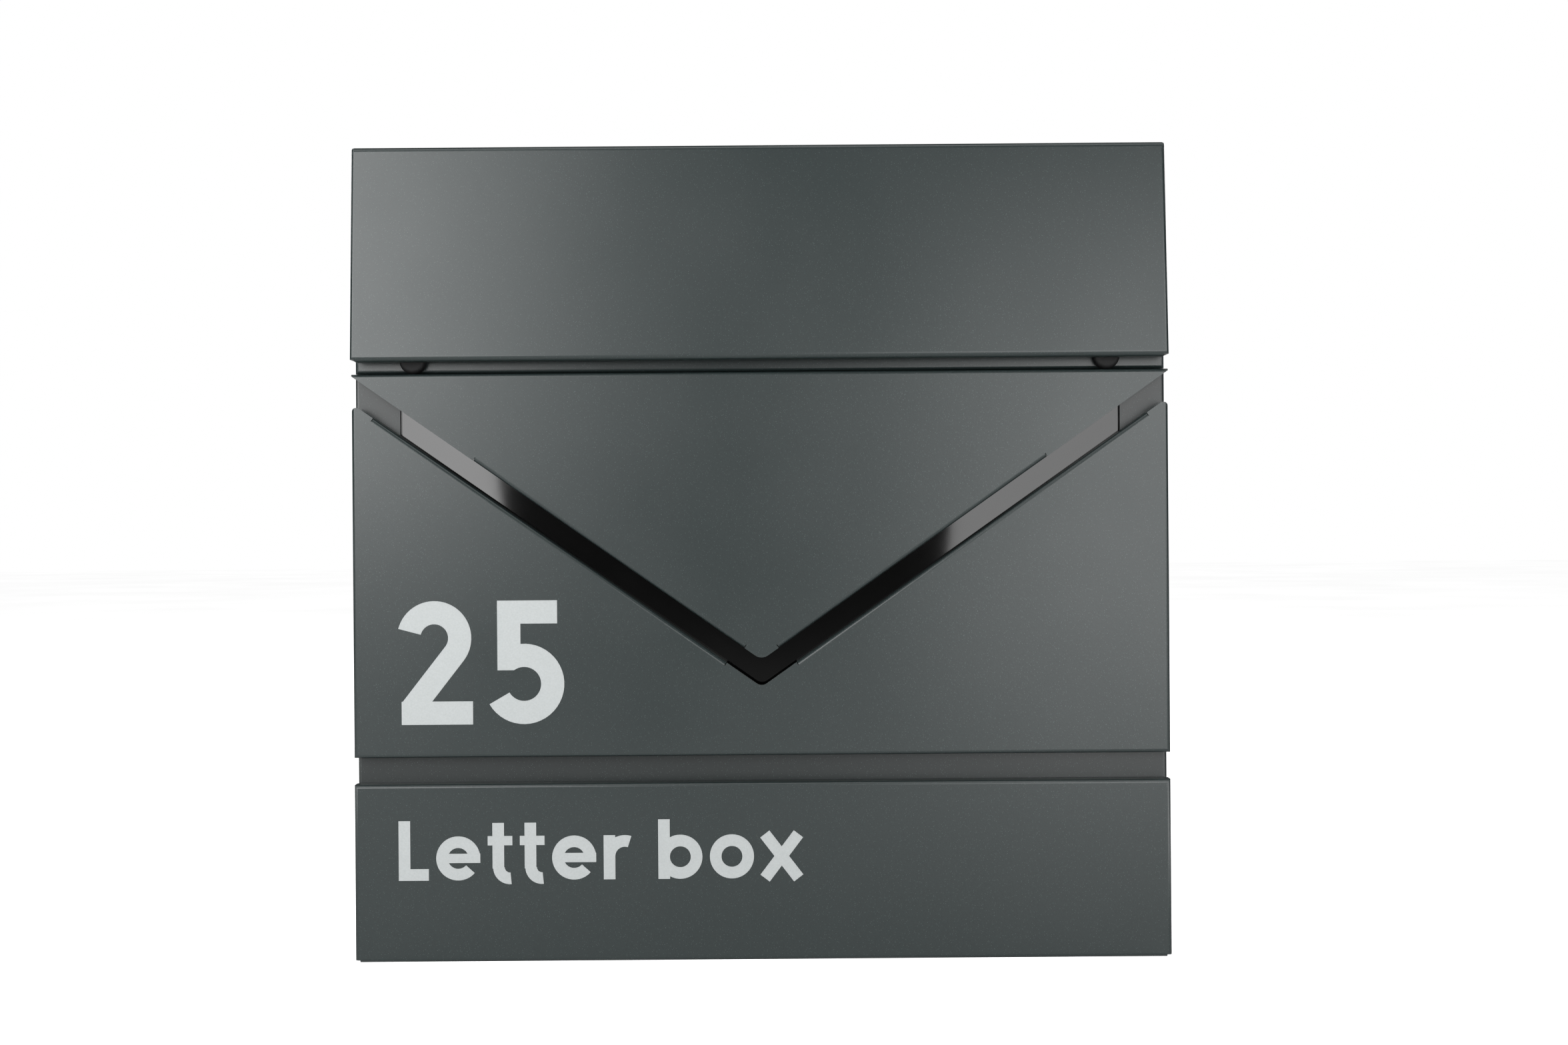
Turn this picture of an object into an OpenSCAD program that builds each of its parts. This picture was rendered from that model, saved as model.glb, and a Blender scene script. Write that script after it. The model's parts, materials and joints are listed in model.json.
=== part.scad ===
// A wall letterbox in folded sheet steel: a case with a lift-up lid, a drop-down door that is
// faced with three folded plates, and a cam lock behind the lid.
// X is to the right, Y runs back to the wall and Z is up. The origin is the middle of the four
// wall holes, on the back of the case.

/* [Case] */
// Width of the case, the lid and the door
box_w = 370; // [300:1:450]
// Height from the underside of the case to the front edge of the roof
box_h = 370; // [330:1:450]
// Depth of the case, from the wall to its front flanges
case_d = 80; // [72:1:130]
// Thickness of the sheet steel
sheet = 1; // [0.8:0.1:1.3]
// Radius of a fold, at the middle of the sheet
fold_r = 1.2; // [0.8:0.1:2]
// Width of the flanges beside the door opening
flange_w = 15; // [14:1:24]
// Height of the flange under the door opening
sill_flange_h = 12; // [8:1:20]
// Distance between the wall holes, across
wall_hole_x = 290; // [200:1:320]
// Distance between the wall holes, up
wall_hole_z = 260; // [150:1:280]
// Diameter of a wall hole
wall_hole_d = 7; // [5:0.5:9]

/* [Lid] */
// How much higher the back of the roof is than its front edge
roof_fall = 2.5; // [1:0.5:8]
// Top edge of the lid's front, behind the face of the door plates
apron_back = 4; // [0:0.5:6]
// Bottom edge of the lid's front, ahead of the face of the door plates
apron_ahead = 4; // [2:0.5:10]
// Gap between the lid's bottom edge and the top of the door
lid_gap = 5.5; // [3:0.1:8]
// Radius of the folds at the top and bottom of the lid's front
lid_fold_r = 2; // [1.2:0.1:2.5]
// Diameter of the hinge rod
rod_d = 3; // [2.5:0.1:4]
// Number of hinge knuckles, which is odd
knuckles = 9; // [5:2:13]
// Diameter of a rubber bumper
bumper_d = 12; // [8:0.5:16]
// Distance of the bumpers from the middle
bumper_x = 158; // [100:1:160]

/* [Letter slot] */
// Front edge of the slot's sill, from the wall
sill_front = 52; // [40:1:60]
// Width of the folded edge on the other side of the slot
slot_lip = 6; // [4:0.5:10]

/* [Door] */
// Height of the door
door_h = 266.5; // [250:0.5:320]
// Depth of the door's own tray
door_d = 12; // [11:0.5:20]
// Gap line between the door and the fixed plate above it
door_gap = 0.8; // [0.7:0.1:2]
// How far the plates stand ahead of the door
plate_d = 10; // [9:0.5:16]
// Height of the base plate
base_h = 80.4; // [60:0.2:85]
// Height of the gaps between the plates, measured straight up
channel_h = 12.2; // [8:0.2:16]
// Depth of the V of the flap plate, from the top of the door to its point
flap_v = 130.7; // [100:0.1:145]
// Height of the flap plate's ends
flap_end = 0.8; // [0.6:0.1:3]
// Radius of the flap plate's point
flap_tip_r = 5; // [3:0.5:8]
// Radius at the bottom of the V notch
notch_r = 4; // [2:0.5:8]
// Width of the flat at the envelope plate's top corners
corner_flat = 3; // [2.5:0.5:6]
// Radius of the envelope plate's top corners
corner_r = 2; // [1:0.5:2.5]
// Width of the notch at the bottom corners of the base plate and the lid
corner_notch = 2.2; // [1.5:0.1:4]
// Width of the lips that the plates are riveted by
lip_w = 12; // [10:0.5:16]
// Height of the door's hinge pins, from the underside of the case
hinge_h = 5; // [4.5:0.1:5.2]
// Distance of the hinge pins from the front flanges of the case
hinge_d = 6.5; // [6:0.1:7]
// Diameter of a hinge pin
pin_d = 4; // [3:0.5:4]

/* [Window] */
// Distance of the window's ends from the middle
window_x = 164.5; // [100:0.5:166]
// Thickness of the acrylic
window_t = 4; // [3:0.5:6]

/* [Lock] */
// Height of the lock's axis above the top of the door
lock_up = 23.5; // [20:0.5:28]
// Length of the cam, from the lock's axis to its tip
cam_len = 38; // [34:0.5:42]
// Diameter of the lock's barrel
barrel_d = 16; // [12:0.5:19]
// Length of the lock's barrel behind the face of its plate
barrel_len = 15; // [12:0.5:20]

/* [Lettering] */
// Height of the figures
figure_h = 56; // [30:1:60]
// Height of the capital letter
capital_h = 27; // [15:0.5:30]
// Distance of the lettering from the left edge
lettering_in = 20; // [10:1:60]

/* [Hidden] */
$fn = 48;

steel = "#4a5050";
zinc = "#b4b8ba";
black = "#151617";
vinyl = "#d0d2d2";

// clearances
run_gap = 0.05;      // a pin in its bore, on the radius
side_gap = 0.3;      // beside and behind a part that moves
lay_gap = 0.1;       // round a part that is laid into another
eps = 1;             // how far a cut runs past the solid

// planes and levels
half_w = box_w / 2;
y_skin = -(case_d + door_d);
y_plate = y_skin - plate_d;
z_bottom = -box_h / 2;
z_door = z_bottom + door_h;
z_slot = z_door + door_gap;
z_front = z_bottom + box_h;

// lid and its hinge
knuckle_in = rod_d / 2 + run_gap;
knuckle_out = knuckle_in + sheet;
rod_y = -knuckle_out;
rod_z = z_front + roof_fall - knuckle_out;
hinge_free = 0.6;    // between a knuckle and what lies under it
knuckle_end = 7;     // from the side of the case to the first knuckle
knuckle_gap = 0.5;
knuckle_pitch = (box_w - 2 * knuckle_end) / knuckles;
knuckle_w = knuckle_pitch - knuckle_gap;
z_back = z_bottom + sheet + lay_gap;
z_under_hinge = rod_z - knuckle_out - hinge_free;
y_step = rod_y - knuckle_out - 1;    // the case steps down under the hinge behind this plane
y_apron_top = y_plate + apron_back;
y_apron_foot = y_plate - apron_ahead;
z_lid = z_door + lid_gap;
bumper_h = 6;
y_bumper = y_skin - bumper_h;
bumper_z = z_door + bumper_d / 2 + door_gap - 0.4;
bumper_stem_d = 5;

// slot plate and sill
slot_top_gap = 3;
z_slot_top = z_front - slot_top_gap - sheet;
slot_foot = 9;
slot_top_in = 3;     // from the side of the case to the end of the slot plate's top fold
sill_lip = 10;
sill_z = rod_z - knuckle_out - slot_top_gap;

// door and plates
fold_out = fold_r + sheet / 2;
fold_lap = 1;
fold_slit = 0.3;     // slit between the end of a fold and the flat sheet beside it
z_base = z_bottom + base_h;
z_envelope = z_base + channel_h;
v_slope = (flap_v - flap_end) / half_w;
z_flap_point = z_door - flap_v;
z_notch = z_flap_point - channel_h;
z_corner = z_notch + v_slope * (half_w - corner_flat);
flap_fold_in = 55;   // from the side of the door to where the flap's V folds start
flap_fold_tip = 8;
notch_fold_in = 10;
notch_fold_tip = 16;
hinge_y = -(case_d + hinge_d);
hinge_z = z_bottom + hinge_h;
swing_r = hinge_d - side_gap;
foot_in = 20;        // from the side of the door to the end of its bottom fold
foot_fold = 7.5;

// rivets
rivet_d = 3.2;
rivet_hole_d = 3.3;
rivet_head_d = 6.5;
rivet_head_h = 1;
rivet_tail_d = 4.6;
rivet_tail_h = 2.5;
rivet_in = 35;       // from the side of a plate to its first rivet
rivet_lip = 6.5;     // from the edge of a plate to its rivets

// window
window_lap = 2.4;    // how far the skin's cut runs under the plates
window_line = 0.8;   // open line at each end of the window
window_side = 0.5;
window_rim = 6;
tape_t = 0.5;

// lock and strike
lock_z = z_door + lock_up;
lock_head_d = 22;
lock_head_h = 2;
plug_d = 10;
plug_square = 6;
y_barrel = y_skin + barrel_len;
y_cam = y_barrel + lay_gap;
cam_t = 2;
cam_w = 14;
screw_d = 4;
nut_af = 22;
nut_h = 4;
strike_t = 1.5;
strike_w = 30;
strike_drop = 28.5;  // from the top of the door to the strike's shelf
strike_up = 24;
strike_foot = 14;
strike_y = y_cam + cam_t + 0.8 + strike_t / 2;
strike_z = z_door - strike_drop;

// hinge lugs
lug_t = 2;
lug_r = hinge_h - sheet - 0.5;
lug_w = 15;
lug_h = 20;
lug_x = half_w - sheet - side_gap;
pin_head_h = 1.5;

// lettering
vinyl_t = 0.2;
figure_stroke = figure_h * 0.1875;
figure_gap = figure_h * 0.125;
figure_z = z_envelope + 15;
letter_stroke = capital_h * 0.195;
letter_x_h = capital_h * 0.74;
letter_gap = capital_h * 0.125;
letter_z = z_bottom + 37;
word = ["L", "e", "t", "t", "e", "r", " ", "b", "o", "x"];

// ---- sheet outlines ----

function unit(v) = v / norm(v);
function left_of(v) = [-v[1], v[0]];
function turned(v, k) = [v[0] * cos(k) - v[1] * sin(k), v[0] * sin(k) + v[1] * cos(k)];

// Points of the round corner at b, each with the direction across the sheet there
function corner(a, b, c, r, steps = 6) =
    let (u = unit(b - a), v = unit(c - b), turn = atan2(cross(u, v), u * v),
         side = sign(turn), middle = b - u * r * tan(abs(turn) / 2) + left_of(u) * side * r)
    [for (i = [0:steps])
        let (w = turned(left_of(u), turn * i / steps))
        [middle - w * side * r, w]];

// Outline of a sheet that follows path, with its corners folded to radius r
function sheet_outline(path, t, r) =
    let (last = len(path) - 1,
         line = [[path[0], left_of(unit(path[1] - path[0]))],
                 for (i = [1:last - 1]) each corner(path[i - 1], path[i], path[i + 1], r),
                 [path[last], left_of(unit(path[last] - path[last - 1]))]])
    [for (q = line) q[0] + q[1] * t / 2, for (i = [len(line) - 1:-1:0]) line[i][0] - line[i][1] * t / 2];

// Closed outline with each corner rounded to its own radius, or left sharp at 0
function round_outline(points, radii) =
    let (n = len(points))
    [for (i = [0:n - 1])
        each radii[i] == 0
            ? [points[i]]
            : [for (q = corner(points[(i + n - 1) % n], points[i], points[(i + 1) % n], radii[i])) q[0]]];

// A profile of [Y, Z] points, extruded along X about the middle
module along_x(w) rotate([90, 0, 90]) linear_extrude(w, center = true) children();

// A front view of [X, Z] points, t thick, with its face at y
module slab(y, t) translate([0, y + t, 0]) rotate([90, 0, 0]) linear_extrude(t) children();

// A cylinder along X, w long, with its middle at x
module bar_x(x, y, z, d, w) translate([x, y, z]) rotate([0, 90, 0]) cylinder(d = d, h = w, center = true);

// A cylinder along Y from y0 to y1
module bar_y(x, z, d, y0, y1) translate([x, y0, z]) rotate([-90, 0, 0]) cylinder(d = d, h = y1 - y0);

module twins() {
    children();
    mirror([1, 0, 0]) children();
}

// What lies outside a bend whose two outer faces are the axes
module bend_waste() {
    far = 2 * fold_out;
    c = sheet / 2;
    polygon([
        for (q = corner([far, c], [c, c], [c, far], fold_r)) q[0] + q[1] * c,
        [-eps, fold_out], [-eps, -eps], [fold_out, -eps]
    ]);
}

// Rounds the left edge of a sheet whose middle runs from a to b, as [Y, Z], starting ahead of a
module side_round(a, b) {
    ahead = 2 * lid_fold_r;
    translate([-half_w, a[0], a[1]]) rotate([atan2(a[0] - b[0], b[1] - a[1]), 0, 0])
        translate([0, -sheet / 2, -ahead]) linear_extrude(norm(b - a) + ahead) bend_waste();
}

// The notch at a bottom left corner at height z, from y0 back to y1
module notch_cut(z, y0, y1)
    translate([-half_w - eps, y0, z - eps]) cube([corner_notch + eps, y1 - y0, sheet + eps]);

// A fold is [start, end, depth, lip]: it runs along a plate's edge with the plate on its right
function fold_len(f) = norm(f[1] - f[0]);
function fold_path(f) = let (c = sheet / 2)
    f[3] > 0
        ? [[fold_out + fold_lap, c], [c, c], [c, f[2] - c], [f[3], f[2] - c]]
        : [[fold_out + fold_lap, c], [c, c], [c, f[2]]];

module on_fold(f, y)
    translate([f[0][0], y, f[0][1]]) rotate([0, atan2(f[1][0] - f[0][0], f[1][1] - f[0][1]), 0]) children();

module fold_cuts(folds, y)
    for (f = folds)
        on_fold(f, y) translate([-eps, -eps, -fold_slit])
            cube([fold_out + eps, sheet + 2 * eps, fold_len(f) + 2 * fold_slit]);

module fold_sheets(folds, y)
    for (f = folds)
        on_fold(f, y) linear_extrude(fold_len(f)) polygon(sheet_outline(fold_path(f), sheet, fold_r));

// What lies outside the bends of the folds, which mitres two folds that meet
module fold_rounds(folds, y)
    for (f = folds)
        on_fold(f, y) linear_extrude(fold_len(f)) {
            bend_waste();
            if (f[3] > 0) translate([0, f[2]]) mirror([0, 1]) bend_waste();
        }

// A plate with its face at y: folds lie across the middle, side_folds on the left have a twin on the right
module folded_plate(outline, folds, side_folds, y)
    difference() {
        union() {
            difference() {
                slab(y, sheet) polygon(outline);
                fold_cuts(folds, y);
                twins() fold_cuts(side_folds, y);
            }
            intersection() {
                union() {
                    fold_sheets(folds, y);
                    twins() fold_sheets(side_folds, y);
                }
                slab(y, max([for (f = concat(folds, side_folds)) f[2]])) polygon(outline);
            }
        }
        fold_rounds(folds, y);
        twins() fold_rounds(side_folds, y);
    }

// ---- rivets ----

function row(n, half) = [for (i = [0:n - 1]) -half + 2 * half * i / (n - 1)];

base_rivet_points = [
    for (x = row(4, half_w - rivet_in), z = [z_bottom + rivet_lip, z_base - rivet_lip]) [x, z]
];
envelope_rivet_points = [
    for (x = row(4, half_w - rivet_in)) [x, z_envelope + rivet_lip],
    for (x = [-1, 1] * (half_w - rivet_lip), k = [1, 2])
        [x, z_envelope + k * (z_notch + v_slope * half_w - z_envelope) / 3]
];
flap_rivet_points = [for (x = row(4, half_w - rivet_in - 20)) [x, z_door - rivet_lip]];
strike_rivet_points = [for (x = [-1, 1] * strike_w * 0.27) [x, strike_z - strike_foot / 2]];
slot_rivet_points = [
    for (x = [-1, 1] * (half_w - flange_w * 0.55), k = [1, 3, 5])
        [x, z_slot + k * (z_slot_top - z_slot) / 6]
];
lug_rivet_points = [for (x = [-1, 1] * (lug_x - lug_w + 5)) [x, z_bottom + 2 * lug_r + 5]];

// Blind rivets with their heads on the face at y and their tails grip further forward
module rivets(points, y, grip)
    for (p = points) {
        bar_y(p[0], p[1], rivet_head_d, y, y + rivet_head_h);
        bar_y(p[0], p[1], rivet_d, y - grip, y);
        bar_y(p[0], p[1], rivet_tail_d, y - grip - rivet_tail_h, y - grip);
    }

module rivet_holes(points, y0, y1)
    for (p = points) bar_y(p[0], p[1], rivet_hole_d, y0 - eps, y1 + eps);

// ---- case ----

// Underside of the roof at a distance y from the back
function roof_z(y) = let (y0 = rod_y, z0 = z_front + roof_fall, y1 = y_apron_top)
    z0 + (z_front - z0) * (y - y0) / (y1 - y0) - sheet;

module case_wrap() color(steel)
    difference() {
        along_x(box_w) polygon(round_outline(
            [[0, z_bottom], [-case_d, z_bottom], [-case_d, roof_z(-case_d) - hinge_free],
             [y_step, roof_z(y_step) - hinge_free], [y_step, z_under_hinge], [0, z_under_hinge]],
            [0, fold_out, 0, 0, 0, 0]));
        translate([-half_w + sheet, -case_d + sheet, z_bottom + sheet])
            cube([box_w - 2 * sheet, case_d, box_h + roof_fall]);
        translate([-half_w + flange_w, -case_d - eps, z_bottom + sill_flange_h])
            cube([box_w - 2 * flange_w, case_d, box_h + roof_fall]);
        twins() {
            side_round([-case_d, z_bottom] + [1, 1] * sheet / 2, [-case_d + sheet / 2, z_front]);
            side_round([0, z_bottom + sheet / 2], [-case_d, z_bottom + sheet / 2]);
        }
        rivet_holes(slot_rivet_points, -case_d, -case_d + sheet);
        rivet_holes(lug_rivet_points, -case_d, -case_d + sheet);
    }

// Centre and length of a hinge knuckle
function knuckle_x(i) = (i - (knuckles - 1) / 2) * knuckle_pitch;

module knuckle(i) bar_x(knuckle_x(i), rod_y, rod_z, 2 * knuckle_out, knuckle_w);

module rod_bore() bar_x(0, rod_y, rod_z, 2 * knuckle_in, box_w);

module back_panel() color(steel)
    difference() {
        union() {
            translate([-half_w + sheet + lay_gap, -sheet, z_back])
                cube([box_w - 2 * (sheet + lay_gap), sheet, z_under_hinge - z_back]);
            for (i = [0:2:knuckles - 1]) {
                knuckle(i);
                translate([knuckle_x(i) - knuckle_w / 2, -sheet, rod_z - knuckle_out - eps])
                    cube([knuckle_w, sheet, knuckle_out + eps]);
            }
        }
        rod_bore();
        for (x = [-1, 1] * wall_hole_x / 2, z = [-1, 1] * wall_hole_z / 2)
            bar_y(x, z, wall_hole_d, -sheet - eps, eps);
    }

module slot_sill() color(steel)
    along_x(box_w - 2 * (sheet + lay_gap))
        polygon(sheet_outline([
            [-1.5 * sheet, sill_z - sill_lip], [-1.5 * sheet, sill_z - sheet / 2],
            [-sill_front + sheet / 2, sill_z - sheet / 2], [-sill_front + sheet / 2, sill_z - sill_lip]
        ], sheet, fold_r));

module slot_plate() color(steel)
    difference() {
        folded_plate(
            [[-half_w, z_slot], [-half_w, z_slot_top], [half_w, z_slot_top], [half_w, z_slot]],
            [
                [[-half_w + slot_top_in, z_slot_top], [half_w - slot_top_in, z_slot_top], slot_lip, sill_lip],
                [[half_w, z_slot], [-half_w, z_slot], slot_foot, 0]
            ],
            [[[-half_w, z_slot], [-half_w, z_slot_top], door_d, flange_w - eps]],
            y_skin);
        bar_y(0, lock_z, barrel_d + 2 * lay_gap, y_skin - eps, y_skin + sheet + eps);
        for (x = [-1, 1] * bumper_x)
            bar_y(x, bumper_z, bumper_stem_d + lay_gap, y_skin - eps, y_skin + sheet + eps);
        rivet_holes(slot_rivet_points, -case_d - sheet, -case_d);
    }

module slot_rivets() color(zinc) rivets(slot_rivet_points, -case_d + sheet, 2 * sheet);

module hinge_lug(side) color(zinc)
    difference() {
        union() {
            translate([side * lug_x - (side > 0 ? lug_w : 0), -case_d - lug_t, hinge_z - lug_r])
                cube([lug_w, lug_t, lug_h]);
            translate([side * lug_x - (side > 0 ? lug_t : 0), hinge_y, hinge_z - lug_r])
                cube([lug_t, hinge_d, 2 * lug_r]);
            bar_x(side * (lug_x - lug_t / 2), hinge_y, hinge_z, 2 * lug_r, lug_t);
        }
        bar_x(side * (lug_x - lug_t / 2), hinge_y, hinge_z, pin_d + 2 * run_gap, lug_t + 2 * eps);
        rivet_holes(lug_rivet_points, -case_d - lug_t, -case_d);
    }

module lug_rivets() color(zinc) rivets(lug_rivet_points, -case_d + sheet, sheet + lug_t);

module lid_rod() color(zinc) bar_x(0, rod_y, rod_z, rod_d, box_w - 3 * sheet);

module bumper(side) color(black)
    translate([side * bumper_x, y_skin, bumper_z]) rotate([90, 0, 0]) {
        rotate_extrude()
            polygon(round_outline(
                [[0, 0], [bumper_d / 2, 0], [bumper_d / 2, bumper_h], [0, bumper_h]],
                [0, 0, bumper_d / 6, 0]));
        translate([0, 0, -sheet]) cylinder(d = bumper_stem_d, h = sheet);
        translate([0, 0, -sheet - 2]) cylinder(d = bumper_stem_d + 2, h = 2);
    }

// ---- lock ----

module lock_body() color(zinc)
    difference() {
        union() {
            bar_y(0, lock_z, lock_head_d, y_skin - lock_head_h, y_skin);
            bar_y(0, lock_z, barrel_d, y_skin, y_barrel);
        }
        bar_y(0, lock_z, plug_d + 2 * run_gap, y_skin - lock_head_h - eps, y_barrel + eps);
    }

module lock_nut() color(zinc)
    difference() {
        translate([0, y_skin + sheet, lock_z]) rotate([-90, 0, 0])
            cylinder(d = nut_af / cos(30), h = nut_h, $fn = 6);
        bar_y(0, lock_z, barrel_d + 2 * run_gap, y_skin, y_skin + sheet + nut_h + eps);
    }

module lock_plug() color(zinc)
    difference() {
        union() {
            bar_y(0, lock_z, plug_d, y_skin - lock_head_h, y_barrel);
            translate([-plug_square / 2, y_barrel - eps, lock_z - plug_square / 2])
                cube([plug_square, y_cam + cam_t - y_barrel + eps, plug_square]);
        }
        translate([-0.6, y_skin - lock_head_h - eps, lock_z - 3]) cube([1.2, 8 + eps, 6]);
        bar_y(0, lock_z, screw_d, y_cam + cam_t - 6, y_cam + cam_t + eps);
    }

module lock_cam() color(zinc)
    difference() {
        union() {
            bar_y(0, lock_z, cam_w, y_cam, y_cam + cam_t);
            translate([0, y_cam, lock_z - cam_w / 2]) cube([cam_len - cam_w / 2, cam_t, cam_w]);
            bar_y(cam_len - cam_w / 2, lock_z, cam_w, y_cam, y_cam + cam_t);
        }
        translate([-plug_square / 2 - run_gap, y_cam - eps, lock_z - plug_square / 2 - run_gap])
            cube([plug_square + 2 * run_gap, cam_t + 2 * eps, plug_square + 2 * run_gap]);
    }

module cam_screw() color(zinc)
    difference() {
        union() {
            bar_y(0, lock_z, plug_square * 1.5, y_cam + cam_t, y_cam + cam_t + 2);
            bar_y(0, lock_z, screw_d, y_cam + cam_t - 5, y_cam + cam_t);
        }
        for (turn = [0, 90])
            translate([0, y_cam + cam_t + 1 + eps / 2, lock_z]) rotate([0, turn, 0])
                cube([4.5, 1 + eps, 0.9], center = true);
    }

// ---- lid ----

// Corners of the middle of the lid's sheet, as [Y, Z]
lid_brow = [y_apron_top, z_front] + [1, -1] * sheet / 2;
lid_chin = [y_apron_foot, z_lid] + [1, 1] * sheet / 2;
lid_hem = [y_bumper - side_gap, lid_chin[1]];
lid_side_y = y_skin - side_gap;
lid_side_top = [lid_side_y, roof_z(lid_side_y) + sheet / 2];

module lid_side()
    along_x(sheet) polygon([
        [lid_side_y, lid_chin[1]], lid_chin + [lid_fold_r, 0], lid_chin + [0, lid_fold_r],
        lid_brow - [0, lid_fold_r], lid_brow + [lid_fold_r, 0], lid_side_top
    ]);

module lid_shell() color(steel)
    difference() {
        union() {
            along_x(box_w) polygon(sheet_outline(
                [[rod_y, rod_z + knuckle_out - sheet / 2], lid_brow, lid_chin, lid_hem], sheet, lid_fold_r));
            twins() translate([-half_w + sheet / 2, 0, 0]) lid_side();
            for (i = [1:2:knuckles - 2]) knuckle(i);
        }
        twins() {
            side_round(lid_chin, lid_brow);
            side_round(lid_brow, lid_side_top);
            notch_cut(z_lid, y_apron_foot - eps, y_skin);
        }
        rod_bore();
        for (i = [0:2:knuckles - 1])
            translate([knuckle_x(i) - knuckle_w / 2 - knuckle_gap, rod_y - knuckle_out - knuckle_gap, rod_z])
                cube([knuckle_w + 2 * knuckle_gap, 2 * knuckle_out, 2 * knuckle_out]);
    }

// ---- door ----

function v_line(x, apex) = [x, apex + v_slope * abs(x)];

// The band between the plates' V edges, cut off at x and grown up and down
function chevron(x, grow) = [
    v_line(-x, z_notch - grow), v_line(-x, z_flap_point + grow), v_line(0, z_flap_point + grow),
    v_line(x, z_flap_point + grow), v_line(x, z_notch - grow), v_line(0, z_notch - grow)
];

module door_skin() color(steel)
    difference() {
        folded_plate(
            [[-half_w, z_bottom], [-half_w, z_door], [half_w, z_door], [half_w, z_bottom]],
            [
                [[-half_w, z_door], [half_w, z_door], door_d - side_gap, 0],
                [[half_w - foot_in, z_bottom], [-half_w + foot_in, z_bottom], foot_fold, 0]
            ],
            [[[-half_w, z_bottom], [-half_w, z_door], door_d - side_gap, 0]],
            y_skin);
        difference() {
            translate([-half_w - eps, hinge_y, z_bottom - eps])
                cube([box_w + 2 * eps, hinge_d, hinge_h + eps]);
            bar_x(0, hinge_y, hinge_z, 2 * swing_r, box_w + 4 * eps);
        }
        bar_x(0, hinge_y, hinge_z, pin_d, box_w + 2 * eps);
        slab(y_skin - eps, sheet + 2 * eps) polygon(chevron(window_x, window_lap));
        rivet_holes(base_rivet_points, y_skin, y_skin + sheet);
        rivet_holes(envelope_rivet_points, y_skin, y_skin + sheet);
        rivet_holes(flap_rivet_points, y_skin, y_skin + sheet);
        rivet_holes(strike_rivet_points, y_skin, y_skin + sheet);
    }

module flap_plate() color(steel)
    difference() {
        folded_plate(
            round_outline(
                [[-half_w, z_door], [half_w, z_door], [half_w, z_door - flap_end], [0, z_flap_point],
                 [-half_w, z_door - flap_end]],
                [0, 0, 0, flap_tip_r, 0]),
            [[[-half_w, z_door], [half_w, z_door], plate_d, lip_w]],
            [[v_line(-flap_fold_tip, z_flap_point), v_line(-half_w + flap_fold_in, z_flap_point),
              plate_d - side_gap, 0]],
            y_plate);
        rivet_holes(flap_rivet_points, y_skin - sheet, y_skin);
    }

module envelope_plate() color(steel)
    difference() {
        folded_plate(
            round_outline(
                [[-half_w, z_envelope], [-half_w, z_corner], v_line(-half_w + corner_flat, z_notch),
                 [0, z_notch], v_line(half_w - corner_flat, z_notch), [half_w, z_corner],
                 [half_w, z_envelope]],
                [0, corner_r, 0, notch_r, 0, corner_r, 0]),
            [[[half_w, z_envelope], [-half_w, z_envelope], plate_d, lip_w]],
            [
                [[-half_w, z_envelope], [-half_w, z_corner], plate_d, lip_w],
                [v_line(-half_w + notch_fold_in, z_notch), v_line(-notch_fold_tip, z_notch),
                 plate_d - side_gap, 0]
            ],
            y_plate);
        rivet_holes(envelope_rivet_points, y_skin - sheet, y_skin);
    }

module base_plate() color(steel)
    difference() {
        folded_plate(
            [[-half_w, z_bottom], [-half_w, z_base], [half_w, z_base], [half_w, z_bottom]],
            [
                [[-half_w, z_base], [half_w, z_base], plate_d, lip_w],
                [[half_w, z_bottom], [-half_w, z_bottom], plate_d, lip_w]
            ],
            [[[-half_w, z_bottom], [-half_w, z_base], plate_d, lip_w]],
            y_plate);
        twins() notch_cut(z_bottom, y_plate - eps, y_skin);
        rivet_holes(base_rivet_points, y_skin - sheet, y_skin);
    }

module flap_rivets() color(zinc) rivets(flap_rivet_points, y_skin + sheet, 2 * sheet);

module envelope_rivets() color(zinc) rivets(envelope_rivet_points, y_skin + sheet, 2 * sheet);

module base_rivets() color(zinc) rivets(base_rivet_points, y_skin + sheet, 2 * sheet);

module window() color(black) {
    slab(y_skin, window_t) polygon(chevron(window_x - window_line, window_lap - window_side));
    slab(y_skin + sheet + tape_t, window_t - sheet - tape_t)
        polygon(chevron(window_x + window_rim, window_lap + window_rim));
}

module window_tape() color(black)
    difference() {
        slab(y_skin + sheet, tape_t) polygon(chevron(window_x + window_rim, window_lap + window_rim));
        slab(y_skin, window_t) polygon(chevron(window_x + window_line, window_lap + window_line));
    }

module strike_bracket() color(zinc)
    difference() {
        along_x(strike_w)
            polygon(sheet_outline([
                [y_skin + sheet + strike_t / 2, strike_z - strike_foot],
                [y_skin + sheet + strike_t / 2, strike_z],
                [strike_y, strike_z], [strike_y, strike_z + strike_up]
            ], strike_t, fold_r));
        rivet_holes(strike_rivet_points, y_skin + sheet, y_skin + sheet + strike_t);
    }

module strike_rivets() color(zinc) rivets(strike_rivet_points, y_skin + sheet + strike_t, sheet + strike_t);

module door_pin(side) color(zinc)
    translate([side * (half_w - lay_gap), hinge_y, hinge_z]) rotate([0, -side * 90, 0]) {
        cylinder(d = pin_d, h = sheet + 2 * side_gap + lug_t);
        translate([0, 0, sheet + 2 * side_gap + lug_t]) cylinder(r = lug_r, h = pin_head_h);
    }

// ---- lettering ----

module stroke(a, b, w)
    translate(a) rotate(atan2(b[1] - a[1], b[0] - a[0])) translate([0, -w / 2]) square([norm(b - a), w]);

module arc(c, r, from, to, w, steps = 36)
    polygon([
        for (i = [0:steps]) let (k = from + (to - from) * i / steps) c + (r + w / 2) * [cos(k), sin(k)],
        for (i = [steps:-1:0]) let (k = from + (to - from) * i / steps) c + (r - w / 2) * [cos(k), sin(k)]
    ]);

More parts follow.
